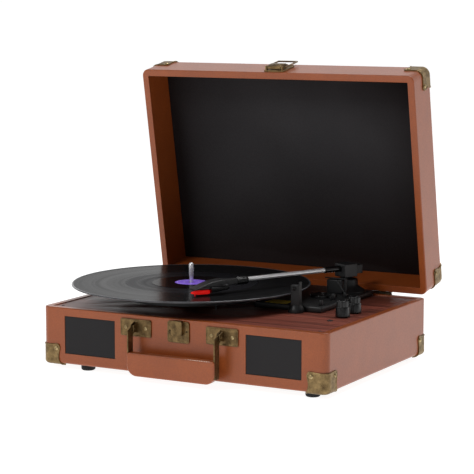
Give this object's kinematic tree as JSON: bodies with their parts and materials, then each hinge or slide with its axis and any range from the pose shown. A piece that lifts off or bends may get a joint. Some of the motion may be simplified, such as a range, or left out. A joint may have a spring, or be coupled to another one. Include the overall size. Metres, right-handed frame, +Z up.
{
  "type": "suitcase record player",
  "caption": "Hinged leatherette carrying case with a belt-driven turntable, tone arm and cueing controls, front speakers, hanging handle, lid latch and metal corners.",
  "frame": {"origin": "middle of the bottom of the whole object as posed, on the surface that the feet stand on", "axes": "+X to the right of the front, +Y to the back, +Z up"},
  "size_m": [0.4068, 0.359, 0.3741],
  "materials": {
    "leatherette": "grained orange-brown leatherette over board",
    "board": "plain hardboard",
    "deck_wood": "dark mahogany wood grain, glossy",
    "black_plastic": "satin moulded black",
    "speaker_cloth": "dark grey speaker cloth",
    "speaker_body": "plain",
    "rubber": "matte black",
    "antique_brass": "mottled antique brass",
    "lid_lining": "near-black matte paper",
    "steel": "satin",
    "chrome": "polished",
    "vinyl": "pressed grooves, glossy",
    "stylus_red": "bright red"
  },
  "bodies": {
    "base": {"base_shell": "leatherette", "bottom_board": "board", "deck_plate": "deck_wood", "arm_plate": "black_plastic", "adapter_45": "black_plastic", "arm_pedestal": "black_plastic", "arm_rest": "black_plastic", "aux_jack": "black_plastic", "rear_sockets": "black_plastic", "speaker_grille_left": "speaker_cloth", "speaker_grille_right": "speaker_cloth", "speaker_left": "speaker_body", "speaker_right": "speaker_body", "foot_front_left": "rubber", "foot_front_right": "rubber", "foot_back_left": "rubber", "foot_back_right": "rubber", "drive_belt": "rubber", "base_corner_front_left": "antique_brass", "base_corner_front_right": "antique_brass", "base_corner_back_left": "antique_brass", "base_corner_back_right": "antique_brass", "handle_bracket_left": "antique_brass", "handle_bracket_right": "antique_brass", "latch_catch": "antique_brass", "hinge_lower_left": "antique_brass", "hinge_lower_right": "antique_brass", "bearing_housing": "steel", "motor": "steel"},
    "lid": {"lid_shell": "leatherette", "lid_liner": "lid_lining", "lid_corner_front_left": "antique_brass", "lid_corner_front_right": "antique_brass", "lid_corner_back_left": "antique_brass", "lid_corner_back_right": "antique_brass", "latch_plate": "antique_brass", "hinge_upper_left": "antique_brass", "hinge_upper_right": "antique_brass"},
    "latch_lever": {"latch_lever": "antique_brass"},
    "latch_loop": {"latch_loop": "antique_brass"},
    "handle": {"handle_grip": "leatherette", "handle_strap_left": "antique_brass", "handle_strap_right": "antique_brass"},
    "platter": {"platter": "steel", "platter_mat": "rubber", "spindle": "chrome", "record": "vinyl"},
    "motor_pulley": {"motor_pulley": "steel"},
    "arm_swivel": {"arm_swivel": "black_plastic"},
    "tone_arm": {"arm_block": "black_plastic", "arm_tube": "chrome", "headshell": "black_plastic", "stylus_holder": "stylus_red"},
    "cue_lever": {"cue_lever": "black_plastic"},
    "lift_bar": {"lift_bar": "black_plastic"},
    "volume_knob": {"volume_knob": "black_plastic"},
    "tone_knob": {"tone_knob": "black_plastic"},
    "speed_switch": {"speed_switch": "black_plastic"},
    "auto_stop_switch": {"auto_stop_switch": "black_plastic"}
  },
  "joints": [
    {"name": "lid_hinge", "type": "hinge", "parent": "base", "child": "lid", "pos_m": [0.00635, 0.13008, 0.0777], "axis": [-1, 0, 0], "range_deg": [-59, 16]},
    {"name": "latch_lever_hinge", "type": "hinge", "parent": "lid", "child": "latch_lever", "pos_m": [0.00635, 0.08393, 0.36673], "axis": [-1, 0, 0], "range_deg": [-120, 0]},
    {"name": "latch_loop_hinge", "type": "hinge", "parent": "latch_lever", "child": "latch_loop", "pos_m": [0.00635, 0.08945, 0.36714], "axis": [1, 0, 0], "range_deg": [0, 180]},
    {"name": "handle_swing", "type": "hinge", "parent": "base", "child": "handle", "pos_m": [0.00635, -0.16472, 0.0624], "axis": [-1, 0, 0], "range_deg": [0, 95]},
    {"name": "platter_spin", "type": "hinge", "parent": "base", "child": "platter", "pos_m": [-0.05265, -0.02702, 0.095], "axis": [0, 0, -1], "continuous": true},
    {"name": "motor_spin", "type": "hinge", "parent": "base", "child": "motor_pulley", "pos_m": [0.00633, -0.06832, 0.088], "axis": [0, 0, -1], "continuous": true},
    {"name": "arm_swing", "type": "hinge", "parent": "base", "child": "arm_swivel", "pos_m": [0.10805, 0.09128, 0.1], "axis": [0, 0, 1], "range_deg": [-16.5, 23.3]},
    {"name": "arm_lift", "type": "hinge", "parent": "arm_swivel", "child": "tone_arm", "pos_m": [0.10805, 0.09128, 0.1125], "axis": [-0.9048, 0.4258, 0], "range_deg": [0, 12]},
    {"name": "cue_lever_hinge", "type": "hinge", "parent": "base", "child": "cue_lever", "pos_m": [0.12735, 0.04708, 0.0871], "axis": [0, 1, 0], "range_deg": [0, 50]},
    {"name": "lift_bar_slide", "type": "slide", "parent": "base", "child": "lift_bar", "axis": [0, 0, 1], "range_m": [0, 0.0056]},
    {"name": "volume_turn", "type": "hinge", "parent": "base", "child": "volume_knob", "pos_m": [0.16765, -0.04492, 0.08], "axis": [0, 0, -1], "range_deg": [-150, 150]},
    {"name": "tone_turn", "type": "hinge", "parent": "base", "child": "tone_knob", "pos_m": [0.16765, -0.01242, 0.08], "axis": [0, 0, -1], "range_deg": [-150, 150]},
    {"name": "speed_slide", "type": "slide", "parent": "base", "child": "speed_switch", "axis": [0, 1, 0], "range_m": [0, 0.0072]},
    {"name": "auto_stop_slide", "type": "slide", "parent": "base", "child": "auto_stop_switch", "axis": [0, -1, 0], "range_m": [0, 0.0072]}
  ],
  "couplings": [
    {"joint": "motor_spin", "follows": "platter_spin", "ratio": 8.3333},
    {"joint": "lift_bar_slide", "follows": "cue_lever_hinge", "m_per_rad": 0.006417}
  ]
}
